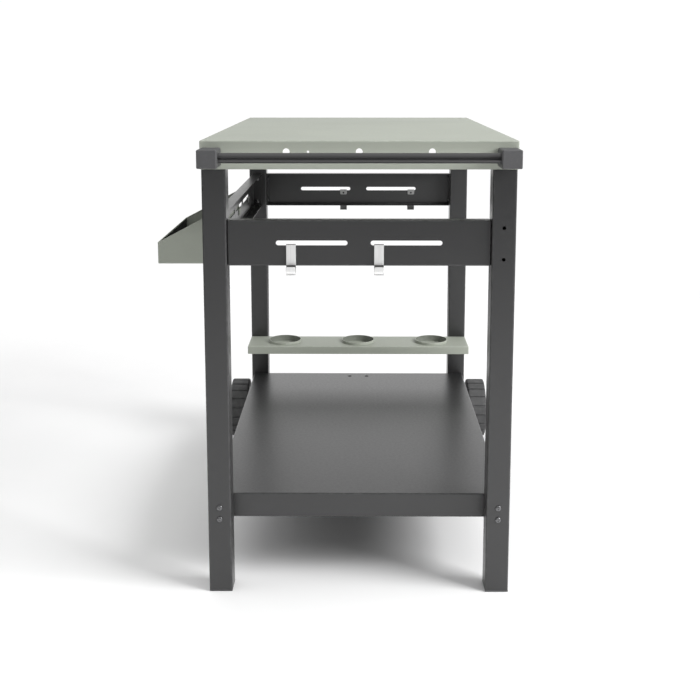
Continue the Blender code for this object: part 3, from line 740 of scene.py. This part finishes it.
def build_tube_ends():
    """Moulded feet and caps: a soft-edged flange under the tube and a hollow ribbed plug in it."""
    for node in ("foot_front", "foot_back", "leg_cap_front", "leg_cap_back"):
        low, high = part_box(node)
        bm = bmesh.new()
        fill_box(bm, low, (high.x, high.y, low.z + CAP_FLANGE))
        piece = new_object(node + "_look", bm)
        rounded(piece, CAP_ROUND, 3)
        inset = SHEET + GAP + CAP_CLEARANCE
        plug = bmesh.new()
        fill_box(
            plug,
            (low.x + inset, low.y + inset, low.z + CAP_FLANGE / 2),
            (high.x - inset, high.y - inset, high.z),
        )
        with_boolean(piece, "UNION", plug)
        hollow = bmesh.new()
        middle = (low + high) / 2
        half = CAP_POCKET / 2
        for dx in (-1, 1):
            for dy in (-1, 1):
                x = middle.x + dx * CAP_POCKET_PITCH / 2
                y = middle.y + dy * CAP_POCKET_PITCH / 2
                fill_box(
                    hollow, (x - half, y - half, low.z + CAP_FLANGE), (x + half, y + half, high.z + 0.01)
                )
        with_boolean(piece, "DIFFERENCE", hollow)
        settle(piece, node)


# ---------------------------------------------------------------- fasteners


def build_fasteners():
    """Button head bolts with a hexagon socket."""
    for node, axis, _ in FASTENERS:
        low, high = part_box(node)
        middle = (low + high) / 2
        extent = abs((high - low).dot(axis))
        length = extent - BOLT_HEAD
        place = Matrix.Translation(middle + axis * (extent / 2 - BOLT_HEAD)) @ axis_turn(axis)
        profile = [(0, BOLT_HEAD)]
        for degrees in range(30, 91, 10):
            angle = math.radians(degrees)
            profile.append((
                BOLT_HEAD_RADIUS * math.sin(angle) ** 0.8, BOLT_HEAD * (0.22 + 0.78 * math.cos(angle))
            ))
        profile += [
            (BOLT_HEAD_RADIUS, 0), (BOLT_RADIUS, 0), (BOLT_RADIUS, -length + BOLT_TIP),
            (BOLT_RADIUS - BOLT_TIP, -length), (0, -length),
        ]
        bm = bmesh.new()
        lathe(bm, profile, 28, place)
        piece = new_object(node + "_look", bm)
        socket = bmesh.new()
        mouth = place @ Vector((0, 0, BOLT_HEAD - SOCKET_DEPTH + 0.003))
        add_pin(socket, mouth, axis, SOCKET_RADIUS, 0.006, 6)
        with_boolean(piece, "DIFFERENCE", socket)
        settle(piece, node)


# ---------------------------------------------------------------- wheels


def build_tyre(side, place, radius, width):
    """A tyre with round shoulders; its cross lugs have narrow grooves between them."""

    def section(depth):
        half = [
            (TYRE_SEAT, 0.0010), (TYRE_SEAT + 0.0012, 0.0004), (TYRE_SEAT + 0.0087, 0.0),
            (TYRE_SEAT + 0.0127, 0.0006), (radius - 0.0036 - depth * 0.6, 0.0012),
            (radius - 0.0012 - depth, 0.0022), (radius - 0.0002 - depth, 0.0040),
            (radius - depth, 0.0070), (radius - depth, width / 2 - 0.0012),
        ]
        return half + [(r, width - h) for r, h in reversed(half)]

    lug = ((0.0, 0.0), (0.25, 0.0), (0.50, 0.0), (0.76, 0.0), (0.80, 0.0026), (0.88, 0.0027), (0.96, 0.0026))
    bm = bmesh.new()
    rings = []
    for number in range(LUGS):
        for share, depth in lug:
            angle = (number + share) * 2 * math.pi / LUGS
            rings.append([
                bm.verts.new(place @ Vector((r * math.cos(angle), r * math.sin(angle), h)))
                for r, h in section(depth)
            ])
    count = len(rings[0])
    for first, second in zip(rings, rings[1:] + rings[:1]):
        for i in range(count):
            j = (i + 1) % count
            bm.faces.new((first[i], first[j], second[j], second[i]))
    settle(new_object(f"tyre_{side}_look", bm), "tyre_" + side)


def build_rim(side, place):
    """A moulded rim: hub, web and outer ring in one turned profile, with ribs on both faces."""
    profile = [
        (HUB_BORE, 0.0005), (HUB_BORE, HUB_LENGTH - 0.0005), (HUB_BORE + RIM_CHAMFER, HUB_LENGTH),
        (HUB_RADIUS - RIM_CHAMFER, HUB_LENGTH), (HUB_RADIUS, HUB_LENGTH - RIM_CHAMFER), (HUB_RADIUS, WEB_END),
        (RIM_INNER - RIM_FILLET, WEB_END), (RIM_INNER, WEB_END + RIM_FILLET),
        (RIM_INNER, RIM_END - 0.001), (RIM_INNER + 0.0008, RIM_END),
        (RIM_RADIUS - RIM_CHAMFER, RIM_END), (RIM_RADIUS, RIM_END - RIM_CHAMFER),
        (RIM_RADIUS, RIM_START + RIM_CHAMFER), (RIM_RADIUS - RIM_CHAMFER, RIM_START),
        (RIM_INNER + 0.0008, RIM_START), (RIM_INNER, RIM_START + 0.001),
        (RIM_INNER, WEB_START - RIM_FILLET), (RIM_INNER - RIM_FILLET, WEB_START),
        (HUB_RADIUS + RIM_FILLET, WEB_START), (HUB_RADIUS, WEB_START - RIM_FILLET),
        (HUB_RADIUS, RIM_CHAMFER), (HUB_RADIUS - RIM_CHAMFER, 0), (HUB_BORE + RIM_CHAMFER, 0),
    ]
    bm = bmesh.new()
    lathe(bm, profile, 64, place, closed=True)
    piece = new_object(f"rim_{side}_look", bm)
    ribs = bmesh.new()
    for i in range(RIBS):
        turn = Matrix.Rotation(2 * math.pi * (i + 0.5) / RIBS, 4, "Z")
        for start, bottom, top in (OUTER_RIB, INNER_RIB):
            verts = fill_box(ribs, (start, -RIB_HALF_THICK, bottom), (RIB_END, RIB_HALF_THICK, top))
            for vert in verts:
                vert.co = place @ turn @ vert.co
    with_boolean(piece, "UNION", ribs)
    settle(piece, "rim_" + side)


def build_hub_cap(side, place):
    """A thin domed cup pushed over the hub."""
    foot = WEB_END + GAP
    edge = 0.0004
    profile = [
        (0, HUB_CAP_TOP), (0.006, HUB_CAP_TOP - 0.0001), (0.010, HUB_CAP_TOP - 0.0004),
        (0.014, HUB_CAP_TOP - 0.0010), (0.016, HUB_CAP_TOP - 0.0017), (0.0173, HUB_CAP_TOP - 0.0026),
        (HUB_CAP_RADIUS, HUB_CAP_TOP - 0.0038), (HUB_CAP_RADIUS, foot + edge), (HUB_CAP_RADIUS - edge, foot),
        (HUB_CAP_INNER + edge, foot), (HUB_CAP_INNER, foot + edge), (HUB_CAP_INNER, HUB_CAP_INSIDE - edge),
        (HUB_CAP_INNER - edge, HUB_CAP_INSIDE), (0, HUB_CAP_INSIDE),
    ]
    bm = bmesh.new()
    lathe(bm, profile, 48, place)
    settle(new_object(f"hub_cap_{side}_look", bm), "hub_cap_" + side)


def build_axle(side, place):
    """An axle with a head outside the hub, a spacer against the leg and a tail for the nut."""
    head = HUB_LENGTH + GAP
    spacer = GAP - SPACER_LENGTH
    tail = LEG_OUTSIDE - AXLE_TAIL
    profile = [
        (0, head + AXLE_HEAD), (AXLE_HEAD_RADIUS - 0.002, head + AXLE_HEAD),
        (AXLE_HEAD_RADIUS, head + 0.0026), (AXLE_HEAD_RADIUS, head), (AXLE_RADIUS, head),
        (AXLE_RADIUS, -GAP), (SPACER_RADIUS, -GAP),
        (SPACER_RADIUS, spacer), (AXLE_RADIUS, spacer), (AXLE_RADIUS, tail + NUT_CHAMFER),
        (AXLE_RADIUS - NUT_CHAMFER, tail), (0, tail),
    ]
    bm = bmesh.new()
    lathe(bm, profile, 32, place)
    settle(new_object(f"axle_{side}_look", bm), "axle_" + side)


def build_axle_nut(side, place):
    top = LEG_OUTSIDE - GAP
    bottom = LEG_OUTSIDE - NUT_HEIGHT
    profile = [
        (0, top), (NUT_RADIUS - NUT_CHAMFER, top), (NUT_RADIUS, top - NUT_CHAMFER),
        (NUT_RADIUS, bottom + NUT_CHAMFER), (NUT_RADIUS - NUT_CHAMFER, bottom), (0, bottom),
    ]
    bm = bmesh.new()
    lathe(bm, profile, 6, place)
    piece = new_object(f"axle_nut_{side}_look", bm)
    bore = bmesh.new()
    add_pin(bore, place @ Vector((0, 0, (top + bottom) / 2)), (0, 1, 0), NUT_BORE, 0.02, 32)
    with_boolean(piece, "DIFFERENCE", bore)
    settle(piece, "axle_nut_" + side)


def build_wheel(side, sign):
    """All the pieces of one wheel, placed on the axle's line with +Z pointing away from the bench."""
    low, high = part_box("tyre_" + side)
    centre = (low + high) / 2
    inner_y = high.y if sign < 0 else low.y
    place = Matrix.Translation((centre.x, inner_y, centre.z)) @ axis_turn((0, sign, 0))
    build_tyre(side, place, (high.z - low.z) / 2, high.y - low.y)
    build_rim(side, place)
    build_hub_cap(side, place)
    build_axle(side, place)
    build_axle_nut(side, place)


# ---------------------------------------------------------------- hooks


def hook_path():
    """Middle of the strap, (outward, height) from the face of the panel, from tab to lip."""
    half = STRAP_THICK / 2
    inside = -(SHEET + GAP + half)
    outside = GAP + half
    saddle = SLOT_Z - SLOT_HEIGHT / 2 + GAP + half
    bottom = HOOK_BOTTOM + half + HOOK_BEND
    points = [(inside, saddle - HOOK_TAB + step) for step in TIP_STEPS]
    turns = [math.radians(degrees) for degrees in (0, 30, 60, 90)]
    for turn in turns:
        points.append((
            inside + HOOK_CORNER * (1 - math.cos(turn)), saddle - HOOK_CORNER * (1 - math.sin(turn))
        ))
    for turn in turns:
        points.append((
            outside - HOOK_CORNER * (1 - math.sin(turn)), saddle - HOOK_CORNER * (1 - math.cos(turn))
        ))
    points += [(outside, height) for height in (MOUTH_TOP + 0.012, MOUTH_TOP, MOUTH_TOP - MOUTH_HEIGHT)]
    for step in range(17):
        turn = math.pi * step / 16
        points.append((outside + HOOK_BEND * (1 - math.cos(turn)), bottom - HOOK_BEND * math.sin(turn)))
    lip = outside + 2 * HOOK_BEND
    points += [(lip, bottom + HOOK_LIP - step) for step in reversed(TIP_STEPS)]
    return points


def strap_section(width, thickness):
    """Corners of the strap's section, as (across, out) pairs, with rounded edges."""
    points = []
    for sx, sy, start in ((1, 1, 0), (-1, 1, 90), (-1, -1, 180), (1, -1, 270)):
        for step in range(4):
            angle = math.radians(start + step * 30)
            points.append((
                sx * (width / 2 - STRAP_EDGE) + STRAP_EDGE * math.cos(angle),
                sy * (thickness / 2 - STRAP_EDGE) + STRAP_EDGE * math.sin(angle),
            ))
    return points


def build_hook(node, panel, outward):
    """A strap bent along hook_path, with a hole in its tab, hung in a slot of the panel."""
    low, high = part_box(node)
    panel_low, panel_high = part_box(panel)
    outward = Vector(outward)
    up = Vector((0, 0, 1))
    side = outward.cross(up)
    start = (low + high) / 2
    face = panel_high if outward.x + outward.y > 0 else panel_low
    panel_edge = panel_low.z + 0.001
    axis = 0 if outward.x else 1
    start[axis] = face[axis]
    start.z = 0
    width = (high - low)[1 - axis]
    path = [Vector(point) for point in hook_path()]
    count = len(path)
    shrink = {}
    for i, inset in enumerate(TIP_INSETS):
        shrink[i] = inset
        shrink[count - 1 - i] = inset
    bm = bmesh.new()
    rings = []
    for i, here in enumerate(path):
        before = (here - path[i - 1]).normalized() if i else (path[1] - here).normalized()
        after = (path[i + 1] - here).normalized() if i < count - 1 else before
        across = Vector((-before.y - after.y, before.x + after.x)).normalized()
        stretch = 1 / max(0.6, across.dot(Vector((-before.y, before.x))))
        narrow = (width - 2 * shrink.get(i, 0.0)) / width
        ring = []
        for a, b in strap_section(width, STRAP_THICK):
            spot = here + across * b * stretch
            ring.append(bm.verts.new(start + outward * spot.x + up * spot.y + side * a * narrow))
        rings.append(ring)
    skin(bm, rings)
    piece = new_object(node + "_look", bm)
    hole = bmesh.new()
    saddle = SLOT_Z - SLOT_HEIGHT / 2
    spot = start - outward * (SHEET + GAP + STRAP_THICK / 2) + up * (saddle - TAB_HOLE_DROP)
    add_pin(hole, spot, outward, TAB_HOLE_RADIUS, STRAP_THICK * 1.8, 24)
    with_boolean(piece, "DIFFERENCE", hole)
    settle(piece, node)

    def amount(spot, normal):
        """Painted shade in the mouth, on the saddle, on the back of the bend and on the hidden tab."""
        out = (spot - start).dot(outward)
        facing = normal.dot(outward)
        if out < -SHEET:
            return TAB_PAINTED_SHADE
        if spot.z > saddle + 0.0008:
            return SADDLE_PAINTED_SHADE
        if spot.z < panel_edge and facing < -0.3:
            return BACK_PAINTED_SHADE
        if spot.z < MOUTH_TOP and facing > 0.3 and out < MOUTH_REACH:
            return MOUTH_PAINTED_SHADE
        return 0.0

    # The hook's mouth, saddle, bend back and hidden tab get painted shade
    mark_painted_shade(piece.data, amount)


# ---------------------------------------------------------------- tray


def tray_shell(name, low, high, lip, bend, sheet, open_ends):
    """Folded sheet walls round a bottom, with a lower outer wall; the ends may be left open."""
    bm = bmesh.new()
    fill_box(bm, low, high)
    middle = (low.y + high.y) / 2
    for vert in bm.verts:
        if vert.co.z > lip and vert.co.y > middle:
            vert.co.z = lip
    bm.normal_update()
    mouth = [face for face in bm.faces if 0.1 < face.normal.y < 0.9]
    ends = [face for face in bm.faces if open_ends and abs(face.normal.x) > 0.9]
    bmesh.ops.delete(bm, geom=mouth + ends, context="FACES")
    return sheet_piece(name, bm, bend, sheet)


def tray_tab(piece, x, face, back):
    """Joins on a tab that runs through a slot of the apron and turns down behind it."""
    left = x - TRAY_TAB_HALF
    right = x + TRAY_TAB_HALF
    inner = face - SHEET - GAP
    bottom = SLOT_Z - SLOT_HEIGHT / 2 + GAP
    through = bmesh.new()
    fill_box(through, (left, inner - 2 * SHEET, bottom), (right, back + SHEET * 0.8, bottom + SHEET))
    with_boolean(piece, "UNION", through)
    drop = bmesh.new()
    fill_box(drop, (left, inner - SHEET, bottom - TRAY_TAB_DROP), (right, inner, bottom + SHEET * 0.6))
    with_boolean(piece, "UNION", drop)


def bead_along(name, path, radius):
    """A round bead of rolled edge along a path of points."""
    curve = bpy.data.curves.new(name, "CURVE")
    curve.dimensions = "3D"
    curve.bevel_depth = radius
    curve.bevel_resolution = 4
    curve.use_fill_caps = True
    run = curve.splines.new("POLY")
    run.points.add(len(path) - 1)
    for point, co in zip(run.points, path):
        point.co = (*co, 1)
    source = bpy.data.objects.new(name + "_source", curve)
    scene.collection.objects.link(source)
    depsgraph = bpy.context.evaluated_depsgraph_get()
    mesh = bpy.data.meshes.new_from_object(source.evaluated_get(depsgraph))
    bpy.data.objects.remove(source)
    bead = bpy.data.objects.new(name, mesh)
    scene.collection.objects.link(bead)
    return bead


def build_tray():
    """The hanging tray, its rolled rim, and a near-black sheet inside it that makes its inside walls and
    bottom dark.
    """
    low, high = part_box("tray")
    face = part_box("back_apron")[1].y
    back = face + TRAY_STANDOFF
    low = Vector((low.x, back, low.z))
    piece = tray_shell("tray_look", low, high, TRAY_LIP, TRAY_BEND, SHEET, False)
    middle = (low.x + high.x) / 2 + TRAY_TAB_OFFSET
    for step in (-1, 1):
        tray_tab(piece, middle + step * APRON_SLOT_PITCH, face, back)
    settle(piece, "tray", worn=True)

    left = low.x + BEAD_RADIUS
    right = high.x - BEAD_RADIUS
    front = high.y - BEAD_RADIUS
    path = [
        (left, back + TRAY_BEND, high.z - 0.0012), (left, high.y - BEAD_CORNER, TRAY_LIP + 0.0002),
        (low.x + BEAD_CORNER, front, TRAY_LIP - 0.0008), (high.x - BEAD_CORNER, front, TRAY_LIP - 0.0008),
        (right, high.y - BEAD_CORNER, TRAY_LIP + 0.0002), (right, back + TRAY_BEND, high.z - 0.0012),
    ]
    settle(bead_along("tray_rolled_rim", path, BEAD_RADIUS), slot="sage_green", body="tray_body")

    # A near-black sheet inside the tray darkens its inside walls and bottom
    margin = SHEET + LINER_CLEARANCE
    liner_low = low + Vector((margin, margin, margin))
    liner_high = Vector((high.x - margin, high.y - margin, high.z - 0.006))
    liner = tray_shell("tray_liner", liner_low, liner_high, TRAY_LIP - 0.003, LINER_BEND, LINER_SHEET, True)
    settle(liner, slot="black_plastic", body="tray_body", material=LINER)


build_worktop()
build_legs()
build_panels()
build_lower_shelf()
build_cup_shelf()
build_handle()
build_tube_ends()
build_fasteners()
build_wheel("front", -1)
build_wheel("back", 1)
for end, direction in (("handle", -1), ("wheel", 1)):
    for side in ("back", "front"):
        build_hook(f"hook_{end}_{side}", "end_panel_" + end, (direction, 0, 0))
build_hook("hook_apron", "back_apron", (0, 1, 0))
build_tray()


# ---------------------------------------------------------------- floor, light and camera

FLOOR_CLEAR = 2.0
FLOOR_END = 4.1
FLOOR_MIDDLE_X = -1.0
FLOOR_DROP = 0.0004
FLOOR_TONES = ((0.955, 0.955, 0.957), (0.975, 0.975, 0.976))
GLOW_FROM = 0.30
GLOW_TO = 0.95
GLOW_OVERHEAD = 1.06
GLOW_ALL_ROUND = 0.07
BACKGROUND_WHITE = 1.02
SENSOR_WIDTH = 36.0
LENS = 54.6
LENS_SHIFT = -0.172
CAMERA_PLACE = (-2.4595, -0.027, 1.0323)
CAMERA_TILT = 8.60
CAMERA_TURN = 0.34


def build_floor():
    """A pale floor that fades out well away from the bench."""
    bm = bmesh.new()
    bmesh.ops.create_circle(bm, cap_ends=True, segments=96, radius=FLOOR_END)
    floor = new_object("floor", bm)
    floor.location = (FLOOR_MIDDLE_X, 0, -FLOOR_DROP)
    n = Nodes("pale_floor")
    n.link(n.ramp(n.noise(3.0, 3.0), 0.3, 0.7, *FLOOR_TONES), n.shader.inputs["Base Color"])
    n.shader.inputs["Roughness"].default_value = 0.9
    n.shader.inputs["Specular IOR Level"].default_value = 0.1
    distance = n.tree.nodes.new("ShaderNodeVectorMath")
    distance.operation = "LENGTH"
    n.link(n.coords, distance.inputs[0])
    n.link(n.ramp(distance.outputs["Value"], FLOOR_CLEAR, FLOOR_END, 1.0, 0.0), n.shader.inputs["Alpha"])
    floor.data.materials.append(n.material)


def build_world():
    """White wherever the camera looks; as light, a soft glow that is brightest overhead."""
    world = bpy.data.worlds.new("studio")
    scene.world = world
    world.use_nodes = True
    nodes = world.node_tree.nodes
    links = world.node_tree.links
    background = nodes["Background"]
    coords = nodes.new("ShaderNodeTexCoord")
    split = nodes.new("ShaderNodeSeparateXYZ")
    links.new(coords.outputs["Generated"], split.inputs[0])
    rise = nodes.new("ShaderNodeMapRange")
    rise.interpolation_type = "SMOOTHSTEP"
    rise.inputs["From Min"].default_value = GLOW_FROM
    rise.inputs["From Max"].default_value = GLOW_TO
    rise.inputs["To Max"].default_value = GLOW_OVERHEAD
    links.new(split.outputs["Z"], rise.inputs["Value"])
    glow = nodes.new("ShaderNodeMath")
    links.new(rise.outputs["Result"], glow.inputs[0])
    glow.inputs[1].default_value = GLOW_ALL_ROUND
    seen = nodes.new("ShaderNodeLightPath")
    choose = nodes.new("ShaderNodeMix")
    choose.data_type = "FLOAT"
    links.new(seen.outputs["Is Camera Ray"], choose.inputs["Factor"])
    links.new(glow.outputs[0], choose.inputs[2])
    choose.inputs[3].default_value = BACKGROUND_WHITE
    links.new(choose.outputs[0], background.inputs["Strength"])
    background.inputs["Color"].default_value = (1, 1, 1, 1)


def soft_light(name, location, target, size, power, size_y=None):
    """A large lamp aimed at a point, which the camera doesn't see."""
    data = bpy.data.lights.new(name, "AREA")
    data.shape = "RECTANGLE"
    data.size = size
    data.size_y = size_y or size
    data.energy = power
    light = bpy.data.objects.new(name, data)
    light.location = location
    light.rotation_euler = (Vector(target) - Vector(location)).to_track_quat("-Z", "Y").to_euler()
    light.visible_camera = False
    scene.collection.objects.link(light)


def build_camera():
    """At the handle end, a little above the worktop, looking slightly down."""
    data = bpy.data.cameras.new("camera")
    data.sensor_width = SENSOR_WIDTH
    data.lens = LENS
    data.shift_y = LENS_SHIFT
    camera = bpy.data.objects.new("camera", data)
    camera.location = CAMERA_PLACE
    camera.rotation_euler = (math.radians(90 - CAMERA_TILT), 0, math.radians(-90 + CAMERA_TURN))
    scene.collection.objects.link(camera)
    scene.camera = camera


build_floor()
build_world()
soft_light("key", (-1.5, -2.8, 2.2), (0, 0, 0.4), 1.6, 126)
soft_light("backdrop", (3.2, 0, 1.0), (0, 0, 0.7), 4.5, 33, 1.8)
soft_light("back_fill", (-0.4, 3.4, 2.0), (0, 0.2, 0.6), 2.0, 12)
soft_light("front_fill", (-3.2, 0.9, 1.3), (-0.3, 0.2, 0.55), 2.0, 5)
build_camera()
scene.view_settings.view_transform = "Standard"
